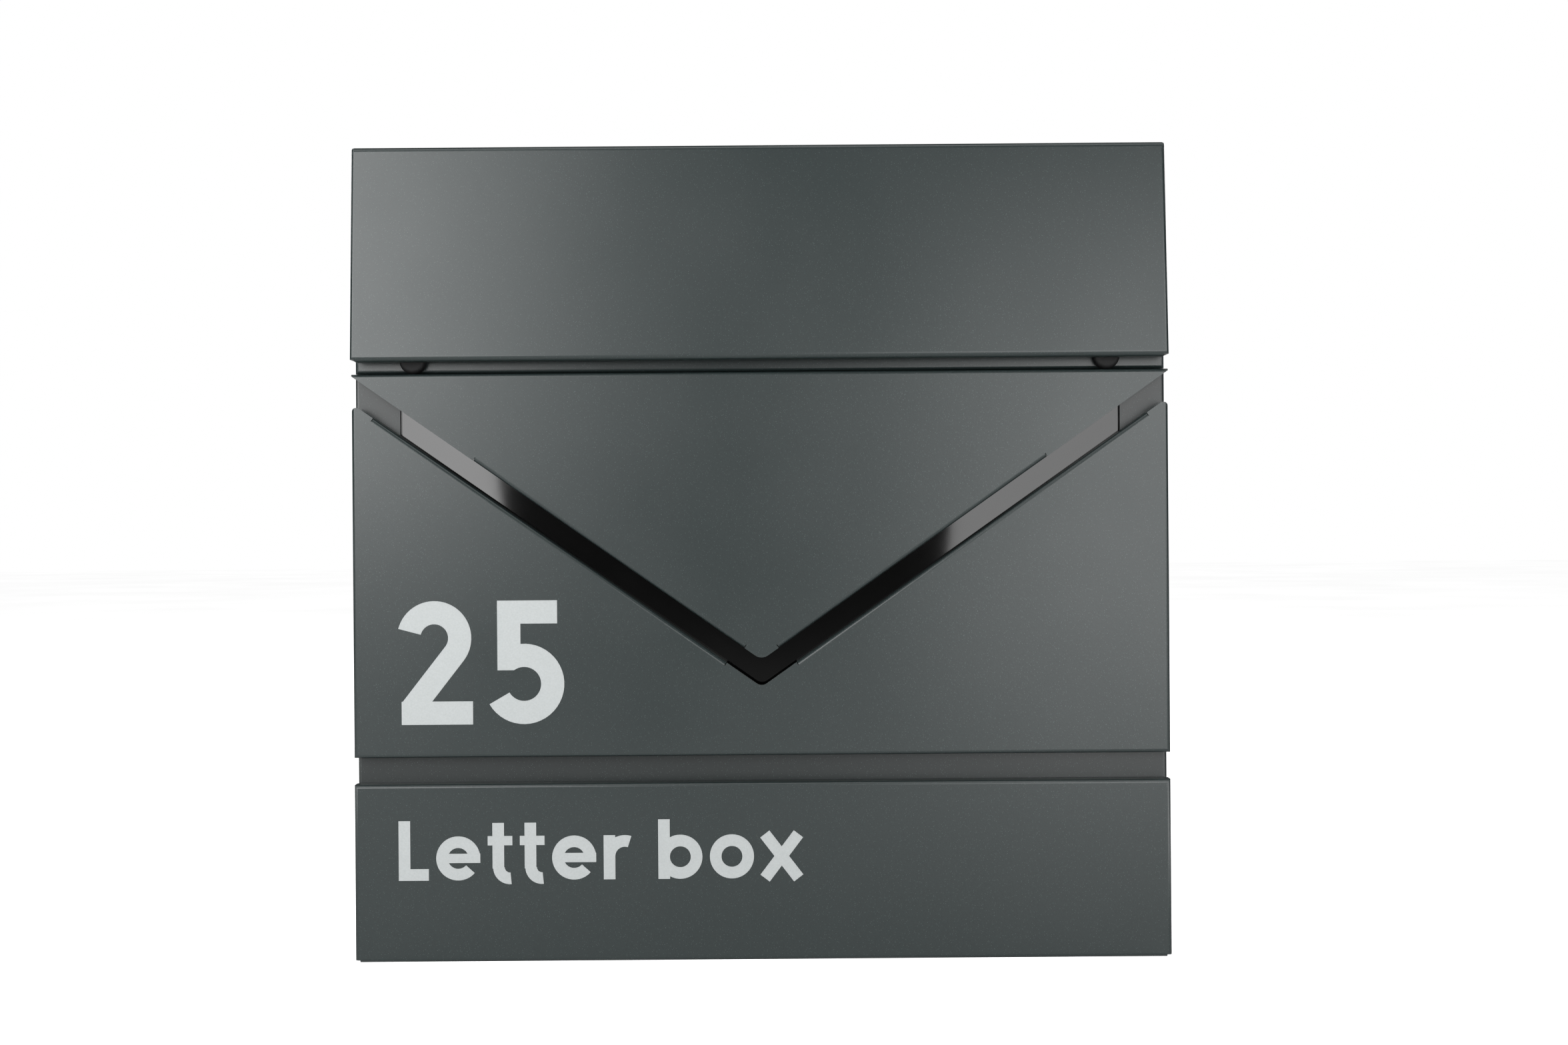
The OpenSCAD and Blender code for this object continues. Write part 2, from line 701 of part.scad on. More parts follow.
module ring(c, r, w)
    translate(c) difference() {
        circle(r + w / 2);
        circle(r - w / 2);
    }

module figure_two(h, w) {
    lean = 38;
    bowl = h * 0.3 - w / 2;
    eye = [h * 0.3, h * 0.7];
    side = [cos(lean), -sin(lean)];
    inside = eye + (bowl - w / 2) * side;
    heel = [inside[0] - (inside[1] - w) * tan(lean), w];
    lap = w / 20;
    arc(eye, bowl, -lean - 4, 165, w);
    stroke(eye + bowl * side, heel + w / 2 * side - lap * [sin(lean), cos(lean)], w);
    stroke([heel[0] - lap, w / 2], [h * 0.61, w / 2], w);
}

module figure_five(h, w) {
    shoulder = 126;
    bowl = h * 0.325 - w / 2;
    eye = [h * 0.29, h * 0.325];
    stem_x = h * 0.075 + w / 2;
    arc(eye, bowl, -150, shoulder, w);
    difference() {
        stroke([stem_x, eye[1] + (bowl - w / 2) * sin(shoulder)], [stem_x, h], w);
        translate(eye) circle(bowl - w / 2 + w / 100);
    }
    stroke([stem_x - w / 2, h - w / 2], [h * 0.56, h - w / 2], w);
}

module house_number() color(vinyl)
    translate([-half_w + lettering_in, 0, figure_z]) slab(y_plate - vinyl_t, vinyl_t) {
        figure_two(figure_h, figure_stroke);
        translate([figure_h * 0.61 + figure_gap, 0]) figure_five(figure_h, figure_stroke);
    }

// Width of each letter, in shares of the height of a small letter
function letter_w(c) =
    letter_x_h * (c == "L" ? 0.68 : c == "t" ? 0.56 : c == "r" ? 0.6 : c == " " ? 0.3 : c == "x" ? 0.92 : 1);
function pen_x(i) = i == 0 ? 0 : pen_x(i - 1) + letter_w(word[i - 1]) + letter_gap;

module letter(c) {
    w = letter_stroke;
    h = letter_x_h;
    bowl = (h - w) / 2;
    if (c == "L") {
        stroke([w / 2, 0], [w / 2, capital_h], w);
        stroke([0, w / 2], [letter_w(c), w / 2], w);
    }
    if (c == "e") {
        arc([h / 2, h / 2], bowl, 0, 318, w);
        stroke([w / 2, h / 2], [h, h / 2], w * 0.8);
    }
    if (c == "t") {
        stroke([h * 0.24, w], [h * 0.24, capital_h * 0.96], w);
        arc([h * 0.24 + w, w * 1.1], w * 0.95, 180, 275, w);
        stroke([0, h - w * 0.4], [letter_w(c), h - w * 0.4], w * 0.8);
    }
    if (c == "r") {
        stroke([w / 2, 0], [w / 2, h], w);
        arc([w / 2 + bowl * 0.95, h - w / 2 - bowl * 0.95], bowl * 0.95, 72, 180, w);
    }
    if (c == "b") {
        stroke([w / 2, 0], [w / 2, capital_h], w);
        ring([h / 2, h / 2], bowl, w);
    }
    if (c == "o") ring([h / 2, h / 2], bowl, w);
    if (c == "x") {
        stroke([w * 0.3, 0], [letter_w(c) - w * 0.3, h], w);
        stroke([letter_w(c) - w * 0.3, 0], [w * 0.3, h], w);
    }
}

module name_lettering() color(vinyl)
    translate([-half_w + lettering_in, 0, letter_z]) slab(y_plate - vinyl_t, vinyl_t)
        for (i = [0:len(word) - 1]) translate([pen_x(i), 0]) letter(word[i]);

case_wrap();
back_panel();
slot_sill();
slot_plate();
slot_rivets();
hinge_lug(-1);  // hinge_lug_left
hinge_lug(1);  // hinge_lug_right
lug_rivets();
lid_rod();
bumper(-1);  // bumper_left
bumper(1);  // bumper_right
lock_body();
lock_nut();
lock_plug();
lock_cam();
cam_screw();
lid_shell();
door_skin();
flap_plate();
envelope_plate();
base_plate();
flap_rivets();
envelope_rivets();
base_rivets();
window();
window_tape();
strike_bracket();
strike_rivets();
door_pin(-1);  // door_pin_left
door_pin(1);  // door_pin_right
house_number();
name_lettering();
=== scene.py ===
# Looks for the wall letterbox: powder coated sheet steel, black acrylic, rubber, vinyl and plated fittings.
import json
import math

import bmesh
import bpy
from mathutils import Matrix, Vector


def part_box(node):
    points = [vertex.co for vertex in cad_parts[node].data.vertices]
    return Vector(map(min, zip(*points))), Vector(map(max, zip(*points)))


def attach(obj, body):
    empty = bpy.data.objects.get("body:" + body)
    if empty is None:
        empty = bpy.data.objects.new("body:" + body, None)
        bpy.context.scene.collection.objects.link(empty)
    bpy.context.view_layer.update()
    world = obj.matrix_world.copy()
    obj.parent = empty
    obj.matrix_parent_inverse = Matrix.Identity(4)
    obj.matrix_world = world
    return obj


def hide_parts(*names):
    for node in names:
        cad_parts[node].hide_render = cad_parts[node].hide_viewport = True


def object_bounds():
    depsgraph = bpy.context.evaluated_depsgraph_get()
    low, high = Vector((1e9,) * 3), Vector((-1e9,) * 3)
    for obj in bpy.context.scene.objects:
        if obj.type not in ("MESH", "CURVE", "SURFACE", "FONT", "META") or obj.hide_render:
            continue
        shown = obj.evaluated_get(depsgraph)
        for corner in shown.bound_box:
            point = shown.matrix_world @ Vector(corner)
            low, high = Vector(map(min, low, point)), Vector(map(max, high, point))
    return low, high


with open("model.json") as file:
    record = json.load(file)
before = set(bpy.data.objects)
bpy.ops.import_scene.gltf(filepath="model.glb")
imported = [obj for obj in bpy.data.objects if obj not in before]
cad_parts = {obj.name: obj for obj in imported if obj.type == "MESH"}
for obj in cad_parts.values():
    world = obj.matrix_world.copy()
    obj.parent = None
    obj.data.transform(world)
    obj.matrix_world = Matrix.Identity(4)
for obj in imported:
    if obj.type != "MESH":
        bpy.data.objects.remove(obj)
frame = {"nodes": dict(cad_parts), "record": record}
cadLow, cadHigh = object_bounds()
nodes = frame["nodes"]
mm = 0.001
bodyOf = {name: body for body, names in frame["record"]["behaviour"]["bodies"].items() for name in names}
print("frame loaded:", len(nodes), "nodes")


# ---- materials ----

def linearColour(hexCode):
    channels = [int(hexCode[i:i + 2], 16) / 255 for i in (1, 3, 5)]
    return [c / 12.92 if c <= 0.04045 else ((c + 0.055) / 1.055) ** 2.4 for c in channels] + [1.0]


def addNode(tree, kind, settings=None, links=None):
    # settings are node properties, socket values or a ramp's two stops, links are socket name: output
    node = tree.nodes.new(kind)
    for key, value in (settings or {}).items():
        if key == "stops":
            for element, (place, colour) in zip(node.color_ramp.elements, value):
                element.position = place
                element.color = colour
        elif isinstance(key, str) and hasattr(node, key):
            setattr(node, key, value)
        else:
            node.inputs[key].default_value = value
    for key, output in (links or {}).items():
        tree.links.new(output, node.inputs[key])
    return node


def newMaterial(name, shaderSettings):
    material = bpy.data.materials.new(name)
    material.use_nodes = True
    tree = material.node_tree
    tree.nodes.clear()
    shader = addNode(tree, "ShaderNodeBsdfPrincipled", shaderSettings)
    addNode(tree, "ShaderNodeOutputMaterial", links={"Surface": shader.outputs["BSDF"]})
    coords = addNode(tree, "ShaderNodeTexCoord").outputs["Object"]
    return material, tree, shader, coords


def paintTones(tree, pattern, tones, shader):
    stops = [(place, linearColour(colour)) for place, colour in tones]
    ramp = addNode(tree, "ShaderNodeValToRGB", {"stops": stops}, {"Fac": pattern})
    tree.links.new(ramp.outputs["Color"], shader.inputs["Base Color"])


def roughenSurface(tree, pattern, finish, shader):
    # the pattern's highs are rougher than its lows, and stand up as a fine relief where there is one
    low, high = finish["roughness"]
    rough = addNode(tree, "ShaderNodeMapRange", {"To Min": low, "To Max": high}, {"Value": pattern})
    tree.links.new(rough.outputs["Result"], shader.inputs["Roughness"])
    if "reliefMm" in finish:
        settings = {"Strength": finish["reliefStrength"], "Distance": finish["reliefMm"] * mm}
        relief = addNode(tree, "ShaderNodeBump", settings, {"Height": pattern})
        tree.links.new(relief.outputs["Normal"], shader.inputs["Normal"])


powderCoat = {
    "base": "#212a2a",
    "dark": "#1d2525",
    "flake": "#5d6665",
    "flakeStrength": 0.55,
    "flakeRadius": (0.10, 0.16),    # from full to none, in shares of the flakes' spacing
    "flakeMm": 0.9,                 # spacing of the metallic flakes
    "grainMm": 0.55,                # the powder's fine wrinkle, coarser than its real 0.2 mm to show
    "driftMm": 71.4,                # slow change of gloss over a sheet
    "roughness": 0.30,
    "roughnessDrift": 0.05,
    "reliefMm": 0.06,
    "reliefStrength": 0.35,
    "channelRoughness": 0.35,       # rougher powder in the channels between the plates; their colour is darkened as painted shade
    # painted shade: darkens the recessed door skin's colours, standing in for the shade the plates cast into
    # the channels
    "channelPaintedShade": 0.6,
}


def makePowderCoat(name, roughness, shade):
    # anthracite polyester powder, sprayed and baked: satin, finely textured, with small bright flakes
    p = powderCoat
    material, tree, shader, coords = newMaterial(name, {"IOR": 1.5, "Metallic": 0.0})
    grain = addNode(tree, "ShaderNodeTexNoise",
                    {"Scale": 1 / (p["grainMm"] * mm), "Detail": 3.0, "Roughness": 0.6}, {"Vector": coords})
    # shade multiplies both tones: 1.0 leaves them as they are, less than 1 paints shade into the colour
    dark, base = [[c * shade for c in linearColour(p[key])[:3]] + [1.0] for key in ("dark", "base")]
    tone = addNode(tree, "ShaderNodeValToRGB", {"stops": [(0.3, dark), (0.7, base)]},
                   {"Fac": grain.outputs["Fac"]})
    flakes = addNode(tree, "ShaderNodeTexVoronoi", {"Scale": 1 / (p["flakeMm"] * mm)}, {"Vector": coords})
    full, none = p["flakeRadius"]
    flakeMask = addNode(tree, "ShaderNodeMapRange",
                        {"From Min": none, "From Max": full, "To Min": 0.0, "To Max": p["flakeStrength"]},
                        {"Value": flakes.outputs["Distance"]})
    withFlakes = addNode(tree, "ShaderNodeMix", {"data_type": "RGBA", 7: linearColour(p["flake"])},
                         {0: flakeMask.outputs["Result"], 6: tone.outputs["Color"]})
    tree.links.new(withFlakes.outputs[2], shader.inputs["Base Color"])
    drift = addNode(tree, "ShaderNodeTexNoise", {"Scale": 1 / (p["driftMm"] * mm), "Detail": 2.0},
                    {"Vector": coords})
    span = (roughness - p["roughnessDrift"], roughness + p["roughnessDrift"])
    roughenSurface(tree, drift.outputs["Fac"], {"roughness": span}, shader)
    wrinkle = addNode(tree, "ShaderNodeBump",
                      {"Strength": p["reliefStrength"], "Distance": p["reliefMm"] * mm},
                      {"Height": grain.outputs["Fac"]})
    tree.links.new(wrinkle.outputs["Normal"], shader.inputs["Normal"])
    return material


acrylic = {
    "tones": [(0.2, "#030303"), (0.8, "#060606")],
    "hazeMm": 16.7,       # faint marks of handling
    "roughness": (0.03, 0.07),
}


def makeAcrylic():
    # cast black acrylic, polished by its mould: mirror smooth and clean
    material, tree, shader, coords = newMaterial("castAcrylicBlack", {"IOR": 1.49})
    haze = addNode(tree, "ShaderNodeTexNoise", {"Scale": 1 / (acrylic["hazeMm"] * mm), "Detail": 4.0},
                   {"Vector": coords}).outputs["Fac"]
    paintTones(tree, haze, acrylic["tones"], shader)
    roughenSurface(tree, haze, acrylic, shader)
    return material


rubber = {
    "tones": [(0.3, "#070707"), (0.75, "#0e0e0f")],
    "bloomMm": 1.1,
    "roughness": (0.62, 0.78),
    "reliefMm": 0.05,
    "reliefStrength": 0.3,
}


def makeRubber():
    # moulded nitrile rubber: matt black with a thin grey bloom
    material, tree, shader, coords = newMaterial("nitrileRubberBlack", {"IOR": 1.4})
    bloom = addNode(tree, "ShaderNodeTexNoise", {"Scale": 1 / (rubber["bloomMm"] * mm), "Detail": 3.0},
                    {"Vector": coords}).outputs["Fac"]
    paintTones(tree, bloom, rubber["tones"], shader)
    roughenSurface(tree, bloom, rubber, shader)
    return material


vinyl = {
    "tones": [(0.2, "#9da1a1"), (0.8, "#a7abab")],
    "pebbleMm": 0.67,     # coarser than the film's real 0.1 mm so that it shows
    "roughness": (0.38, 0.5),
    "reliefMm": 0.03,
    "reliefStrength": 0.15,
}


def makeVinyl():
    # cut silver-white plotter film, 0.2 mm thick: even and satin, with the faint pebble of its face
    material, tree, shader, coords = newMaterial("cutVinylSilver", {"IOR": 1.5})
    pebble = addNode(tree, "ShaderNodeTexNoise", {"Scale": 1 / (vinyl["pebbleMm"] * mm), "Detail": 2.0},
                     {"Vector": coords}).outputs["Fac"]
    paintTones(tree, pebble, vinyl["tones"], shader)
    roughenSurface(tree, pebble, vinyl, shader)
    return material


foamTape = {
    "tones": [(0.1, "#0e0e0e"), (0.6, "#232323")],
    "cellMm": 0.4,
    "roughness": 0.85,
}


def makeFoamTape():
    # closed cell foam tape: matt black with fine cells
    settings = {"IOR": 1.45, "Roughness": foamTape["roughness"]}
    material, tree, shader, coords = newMaterial("foamTapeBlack", settings)
    cells = addNode(tree, "ShaderNodeTexVoronoi", {"Scale": 1 / (foamTape["cellMm"] * mm)},
                    {"Vector": coords})
    paintTones(tree, cells.outputs["Distance"], foamTape["tones"], shader)
    return material


zinc = {
    "tones": [(0.2, "#a3a9ad"), (0.8, "#bfc4c7")],
    "spangleMm": 3.85,
    "lineMm": (16.7, 0.42, 0.42),    # length along X and the other ways of the rolling lines
    "roughness": (0.26, 0.44),
    "reliefMm": 0.02,
    "reliefStrength": 0.2,
}


def makeZinc():
    # bright zinc plating on rolled steel: pale blue-grey metal with a soft spangle and fine rolling lines
    material, tree, shader, coords = newMaterial("zincPlatedSteel", {"Metallic": 1.0})
    spangle = addNode(tree, "ShaderNodeTexVoronoi", {"Scale": 1 / (zinc["spangleMm"] * mm)},
                      {"Vector": coords})
    paintTones(tree, spangle.outputs["Color"], zinc["tones"], shader)
    stretch = addNode(tree, "ShaderNodeMapping", {"Scale": [1 / (size * mm) for size in zinc["lineMm"]]},
                      {"Vector": coords})
    lines = addNode(tree, "ShaderNodeTexNoise", {"Scale": 1.0, "Detail": 3.0},
                    {"Vector": stretch.outputs["Vector"]})
    roughenSurface(tree, lines.outputs["Fac"], zinc, shader)
    return material


aluminium = {
    "tones": [(0.3, "#b3b5b6"), (0.7, "#cfd0d1")],
    "tumbleMm": 0.77,
    "roughness": (0.3, 0.5),
}


def makeAluminium():
    # plain aluminium of blind rivets, tumbled: pale and slightly dull
    material, tree, shader, coords = newMaterial("tumbledAluminium", {"Metallic": 1.0})
    dull = addNode(tree, "ShaderNodeTexNoise", {"Scale": 1 / (aluminium["tumbleMm"] * mm), "Detail": 3.0},
                   {"Vector": coords}).outputs["Fac"]
    paintTones(tree, dull, aluminium["tones"], shader)
    roughenSurface(tree, dull, aluminium, shader)
    return material


nickel = {
    "tones": [(0.3, "#b9b6b0"), (0.7, "#cfccc6")],
    "markMm": 1.43,
    "roughness": (0.12, 0.26),
}


def makeNickel():
    # nickel plating on a die-cast lock: bright, with small marks of turning and of the key
    material, tree, shader, coords = newMaterial("nickelPlatedZinc", {"Metallic": 1.0})
    marks = addNode(tree, "ShaderNodeTexNoise", {"Scale": 1 / (nickel["markMm"] * mm), "Detail": 4.0},
                    {"Vector": coords}).outputs["Fac"]
    paintTones(tree, marks, nickel["tones"], shader)
    roughenSurface(tree, marks, nickel, shader)
    return material


finishes = {
    "powder_coat": makePowderCoat("powderCoatAnthracite", powderCoat["roughness"], 1.0),
    "acrylic": makeAcrylic(),
    "rubber": makeRubber(),
    "vinyl": makeVinyl(),
    "tape": makeFoamTape(),
    "zinc": makeZinc(),
    "rivet": makeAluminium(),
    "lock_metal": makeNickel(),
}
# the door skin's coat: rougher, and its colour darkened as painted shade of the channels between the plates
channelCoatPaintedShade = makePowderCoat("powderCoatChannelPaintedShade", powderCoat["channelRoughness"], powderCoat["channelPaintedShade"])
slotOf = {row["node"]: row["material_slot"] for row in frame["record"]["subparts"]}
print("materials made:", len(finishes) + 1)


# ---- sheet metal and other pieces that keep the CAD node's shape ----

softEdges = {
    "weldMm": 0.002,
    "flatDegrees": 0.5,    # faces this near to flat are joined
    "edgeDegrees": 32,     # sharper edges than this are rounded
    "segments": 2,
    "rounding": {"powder_coat": 0.22, "acrylic": 0.15, "zinc": 0.15, "lock_metal": 0.2, "vinyl": 0.03,
                 "rubber": 0.7, "tape": 0.05},
}


def dressedCopy(nodeName):
    # a merged copy of the node with its raw edges rounded, as a coating or a tumbler leaves them
    slot = slotOf[nodeName]
    mesh = nodes[nodeName].data.copy()
    mesh.materials.clear()
    # the recessed door skin takes the coat with painted shade
    mesh.materials.append(channelCoatPaintedShade if nodeName == "door_skin" else finishes[slot])
    bm = bmesh.new()
    bm.from_mesh(mesh)
    bmesh.ops.remove_doubles(bm, verts=bm.verts, dist=softEdges["weldMm"] * mm)
    bmesh.ops.dissolve_limit(bm, angle_limit=math.radians(softEdges["flatDegrees"]), verts=bm.verts,
                             edges=bm.edges, delimit={"NORMAL"})
    for face in bm.faces:
        face.smooth = True
        face.material_index = 0
    bm.to_mesh(mesh)
    bm.free()
    piece = bpy.data.objects.new(nodeName + "_dressed", mesh)
    bpy.context.scene.collection.objects.link(piece)
    bevel = piece.modifiers.new("rawEdge", "BEVEL")
    bevel.width = softEdges["rounding"][slot] * mm
    bevel.segments = softEdges["segments"]
    bevel.limit_method = "ANGLE"
    bevel.angle_limit = math.radians(softEdges["edgeDegrees"])
    bevel.miter_outer = "MITER_ARC"
    bevel.use_clamp_overlap = True
    weighted = piece.modifiers.new("flatFaces", "WEIGHTED_NORMAL")
    weighted.keep_sharp = True
    weighted.weight = 100
    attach(piece, bodyOf[nodeName])
    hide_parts(nodeName)
    return piece


# the coating or the tumbling rounds every piece but the rivets, which are made anew
rivetNodes = [name for name in nodes if slotOf[name] == "rivet"]
for nodeName in nodes:
    if nodeName not in rivetNodes:
        dressedCopy(nodeName)
print("pieces dressed:", len(nodes) - len(rivetNodes))


# ---- blind rivets ----

blindRivet = {
    "seatDiameterMm": 3.2,
    "headMm": (6.5, 1.0),     # diameter and height of the domed head
    "tailMm": (4.6, 2.5),     # diameter and length of the set tail
    "mandrelMm": 1.9,         # the broken pin that shows in the head
    "weldMm": 0.01,
    "sides": 28,
    "sharpDegrees": 38,
    # outlines as shares of the height or length and of the radius
    "tail": [(1.0, 0.35), (0.9, 0.68), (0.7, 0.9), (0.35, 1.0), (0.08, 0.94), (0.0, 0.8)],
    "head": [(0.0, 1.0), (0.22, 1.0), (0.55, 0.88), (0.85, 0.62), (1.0, 0.38)],
    "dimple": [(1.0, 1.0), (0.5, 0.96), (0.52, 0.6), (0.62, 0.0)],    # round the mandrel, by its radius
}


def makeRivetTree():
    # turns an outline into one rivet and stands a copy of it on every point, head towards +Y
    tree = bpy.data.node_groups.new("blindRivets", "GeometryNodeTree")
    tree.is_modifier = True
    sockets = {}
    for name, kind in (("Places", "NodeSocketGeometry"), ("Head Radius", "NodeSocketFloat"),
                       ("Head Height", "NodeSocketFloat"), ("Shank Radius", "NodeSocketFloat"),
                       ("Grip", "NodeSocketFloat"), ("Tail Radius", "NodeSocketFloat"),
                       ("Tail Length", "NodeSocketFloat"), ("Mandrel Radius", "NodeSocketFloat"),
                       ("Sides", "NodeSocketInt"), ("Material", "NodeSocketMaterial")):
        sockets[name] = tree.interface.new_socket(name, in_out="INPUT", socket_type=kind).identifier
    tree.interface.new_socket("Rivets", in_out="OUTPUT", socket_type="NodeSocketGeometry")
    given = addNode(tree, "NodeGroupInput").outputs

    def times(socket, factor, plus=None):
        links = {0: socket} if plus is None else {0: socket, 2: plus}
        settings = {"operation": "MULTIPLY_ADD", 1: factor, 2: 0.0}
        return addNode(tree, "ShaderNodeMath", settings, links).outputs[0]

    farSide = times(given["Grip"], -1.0)
    zero = times(given["Grip"], 0.0)
    profile = [(times(given["Tail Length"], -1.0, farSide), zero)]
    for z, r in blindRivet["tail"]:
        profile.append((times(given["Tail Length"], -z, farSide), times(given["Tail Radius"], r)))
    profile += [(farSide, given["Shank Radius"]), (zero, given["Shank Radius"])]
    for part, radius in (("head", "Head Radius"), ("dimple", "Mandrel Radius")):
        for z, r in blindRivet[part]:
            profile.append((times(given["Head Height"], z), times(given[radius], r)))
    slices = addNode(tree, "GeometryNodeJoinGeometry")
    for (z0, r0), (z1, r1) in zip(profile, profile[1:]):
        rise = addNode(tree, "ShaderNodeMath", {"operation": "SUBTRACT"}, {0: z1, 1: z0}).outputs[0]
        cone = addNode(tree, "GeometryNodeMeshCone", {"fill_type": "NONE"},
                       {"Vertices": given["Sides"], "Radius Bottom": r0, "Radius Top": r1, "Depth": rise})
        lift = addNode(tree, "ShaderNodeCombineXYZ", None, {"Z": z0})
        moved = addNode(tree, "GeometryNodeTransform", None,
                        {"Geometry": cone.outputs["Mesh"], "Translation": lift.outputs["Vector"]})
        tree.links.new(moved.outputs["Geometry"], slices.inputs["Geometry"])
    turned = addNode(tree, "GeometryNodeMergeByDistance", {"Distance": blindRivet["weldMm"] * mm},
                     {"Geometry": slices.outputs["Geometry"]})
    copies = addNode(tree, "GeometryNodeInstanceOnPoints", {"Rotation": (math.radians(-90), 0, 0)},
                     {"Points": given["Places"], "Instance": turned.outputs["Geometry"]})
    real = addNode(tree, "GeometryNodeRealizeInstances", None, {"Geometry": copies.outputs["Instances"]})
    painted = addNode(tree, "GeometryNodeSetMaterial", None,
                      {"Geometry": real.outputs["Geometry"], "Material": given["Material"]})
    addNode(tree, "NodeGroupOutput", None, {"Rivets": painted.outputs["Geometry"]})
    return tree, sockets


def separateSolids(nodeName):
    # lowest and highest corners of each loose solid in a node
    bm = bmesh.new()
    bm.from_mesh(nodes[nodeName].data)
    bmesh.ops.remove_doubles(bm, verts=bm.verts, dist=softEdges["weldMm"] * mm)
    waiting = set(bm.verts)
    boxes = []
    while waiting:
        group = [waiting.pop()]
        for vert in group:
            for edge in vert.link_edges:
                other = edge.other_vert(vert)
                if other in waiting:
                    waiting.remove(other)
                    group.append(other)
        boxes.append([Vector([f(v.co[i] for v in group) for i in range(3)]) for f in (min, max)])
    bm.free()
    return sorted(boxes, key=lambda box: tuple(box[0]))


def setRivets(nodeName, tree, sockets):
    p = blindRivet
    boxes = separateSolids(nodeName)
    places = []
    for low, high in boxes:
        places.append(((low.x + high.x) / 2, high.y - p["headMm"][1] * mm, (low.z + high.z) / 2))
    grip = boxes[0][1].y - boxes[0][0].y - (p["headMm"][1] + p["tailMm"][1]) * mm
    mesh = bpy.data.meshes.new(nodeName + "_places")
    mesh.from_pydata(places, [], [])
    holder = bpy.data.objects.new(nodeName + "_places", mesh)
    bpy.context.scene.collection.objects.link(holder)
    modifier = holder.modifiers.new("rivets", "NODES")
    modifier.node_group = tree
    for name, value in (("Head Radius", p["headMm"][0] / 2 * mm), ("Head Height", p["headMm"][1] * mm),
                        ("Shank Radius", p["seatDiameterMm"] / 2 * mm), ("Grip", grip),
                        ("Tail Radius", p["tailMm"][0] / 2 * mm), ("Tail Length", p["tailMm"][1] * mm),
                        ("Mandrel Radius", p["mandrelMm"] / 2 * mm), ("Sides", p["sides"]),
                        ("Material", finishes["rivet"])):
        modifier[sockets[name]] = value
    shaped = bpy.data.meshes.new_from_object(holder.evaluated_get(bpy.context.evaluated_depsgraph_get()))
    bpy.data.objects.remove(holder)
    piece = bpy.data.objects.new(nodeName + "_set", shaped)
    bpy.context.scene.collection.objects.link(piece)
    shaped.shade_smooth()
    shaped.set_sharp_from_angle(angle=math.radians(p["sharpDegrees"]))
    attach(piece, bodyOf[nodeName])
    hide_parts(nodeName)
    return len(places)


rivetTree, rivetSockets = makeRivetTree()
rivetCount = sum(setRivets(name, rivetTree, rivetSockets) for name in rivetNodes)
for nodeName, node in nodes.items():
    node.data.materials.clear()
    node.data.materials.append(finishes[slotOf[nodeName]])
print("rivets set:", rivetCount)


# ---- floor, light and camera ----

floorPaint = {
    "halfSide": 9.0,
    "tones": [(0.3, "#f2f2f2"), (0.7, "#f7f7f7")],
    "mottle": 0.33,
    "roughness": 0.9,
    "glow": 1.0,          # lifts the floor towards white without lighting the object
}


def makeFloor():
    material, tree, shader, coords = newMaterial("studioFloorPaint", {"Roughness": floorPaint["roughness"]})
    mottle = addNode(tree, "ShaderNodeTexNoise", {"Scale": 1 / floorPaint["mottle"], "Detail": 2.0},
                     {"Vector": coords})
    stops = [(place, linearColour(colour)) for place, colour in floorPaint["tones"]]
    tone = addNode(tree, "ShaderNodeValToRGB", {"stops": stops}, {"Fac": mottle.outputs["Fac"]})
    ray = addNode(tree, "ShaderNodeLightPath")
    glow = addNode(tree, "ShaderNodeMath", {"operation": "MULTIPLY", 1: floorPaint["glow"]},
                   {0: ray.outputs["Is Camera Ray"]})
    tree.links.new(tone.outputs["Color"], shader.inputs["Base Color"])
    tree.links.new(tone.outputs["Color"], shader.inputs["Emission Color"])
    tree.links.new(glow.outputs["Value"], shader.inputs["Emission Strength"])
    bm = bmesh.new()
    bmesh.ops.create_grid(bm, x_segments=1, y_segments=1, size=floorPaint["halfSide"])
    mesh = bpy.data.meshes.new("floor")
    bm.to_mesh(mesh)
    bm.free()
    mesh.transform(Matrix.Translation((0, 0, cadLow.z)))
    mesh.materials.append(material)
    floor = bpy.data.objects.new("floor", mesh)
    bpy.context.scene.collection.objects.link(floor)


cameraSpec = {
    "distance": 1.000,    # ahead of the face of the door plates
    "right": 0.0106,      # of the middle of the case
    "height": 0.198,      # above the underside of the case
    "lens": 50.7,
    "filmWidth": 36.0,
    "clip": (0.05, 50.0),
    "rollDegrees": 0.44,
}


def makeCamera():
    data = bpy.data.cameras.new("camera")
    data.lens = cameraSpec["lens"]
    data.sensor_width = cameraSpec["filmWidth"]
    data.clip_start, data.clip_end = cameraSpec["clip"]
    camera = bpy.data.objects.new("camera", data)
    bpy.context.scene.collection.objects.link(camera)
    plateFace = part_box("base_plate")[0].y
    y = plateFace - cameraSpec["distance"]
    camera.location = (cameraSpec["right"], y, cadLow.z + cameraSpec["height"])
    camera.rotation_euler = (math.radians(90), math.radians(cameraSpec["rollDegrees"]), 0)
    bpy.context.scene.camera = camera


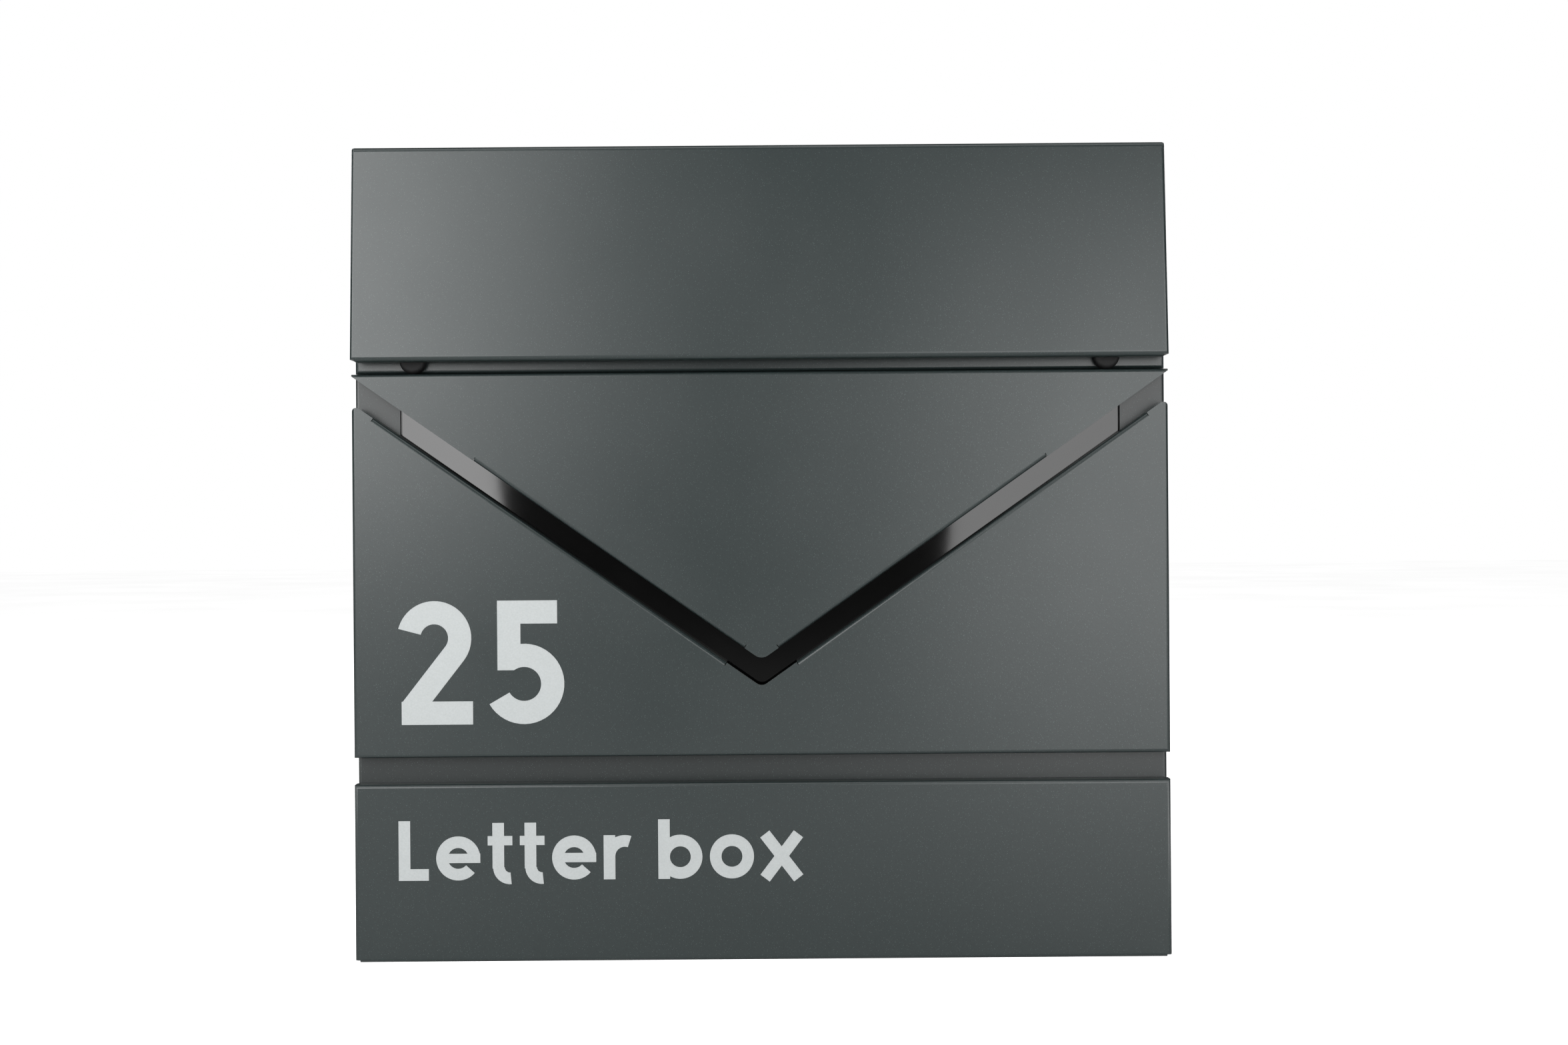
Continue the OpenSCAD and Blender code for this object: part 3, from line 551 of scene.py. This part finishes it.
def areaLight(name, place, target, size, power):
    data = bpy.data.lights.new(name, "AREA")
    data.shape = "RECTANGLE"
    data.size, data.size_y = size
    data.energy = power
    lamp = bpy.data.objects.new(name, data)
    bpy.context.scene.collection.objects.link(lamp)
    lamp.location = place
    lamp.rotation_euler = (Vector(target) - Vector(place)).to_track_quat("-Z", "Z").to_euler()


studio = {
    "roomColour": "#ffffff",
    "room": 0.08,         # strength of the room's own light on the object
    "backdrop": 1.0,      # how bright the room looks to the camera
    "boxDistance": 1.05,  # from the face of the plates to the two softboxes beside the camera
    "left": {"place": (-0.78, 0.425), "size": (1.05, 0.85), "power": 19.2},
    "right": {"place": (0.69, 0.15), "size": (1.05, 0.65), "power": 9.6},
    "aim": (0, -0.09, 0),
    "top": {"place": (0, -0.5, 1.5), "size": (1.6, 0.9), "power": 11},
    "rearLeft": {"place": (-1.6, 1.5, 1.1), "size": (1.0, 1.0), "power": 16},
    "rearRight": {"place": (1.6, 1.5, 1.1), "size": (1.0, 1.0), "power": 16},
}


def makeLights():
    p = studio
    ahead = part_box("base_plate")[0].y - p["boxDistance"]
    for name in ("left", "right"):
        x, z = p[name]["place"]
        areaLight(name + "Softbox", (x, ahead, z), (x, 0, z), p[name]["size"], p[name]["power"])
    for name in ("top", "rearLeft", "rearRight"):
        areaLight(name + "Softbox", p[name]["place"], p["aim"], p[name]["size"], p[name]["power"])
    world = bpy.data.worlds.new("paleRoom")
    world.use_nodes = True
    tree = world.node_tree
    room = tree.nodes["Background"]
    room.inputs["Color"].default_value = linearColour(p["roomColour"])
    room.inputs["Strength"].default_value = p["room"]
    seen = addNode(tree, "ShaderNodeBackground",
                   {"Color": linearColour(p["roomColour"]), "Strength": p["backdrop"]})
    ray = addNode(tree, "ShaderNodeLightPath")
    mix = addNode(tree, "ShaderNodeMixShader", None,
                  {0: ray.outputs["Is Camera Ray"], 1: room.outputs[0], 2: seen.outputs[0]})
    tree.links.new(mix.outputs["Shader"], tree.nodes["World Output"].inputs["Surface"])
    bpy.context.scene.world = world
    bpy.context.scene.view_settings.view_transform = "Standard"


makeFloor()
makeCamera()
makeLights()
print("floor, camera and lights made")
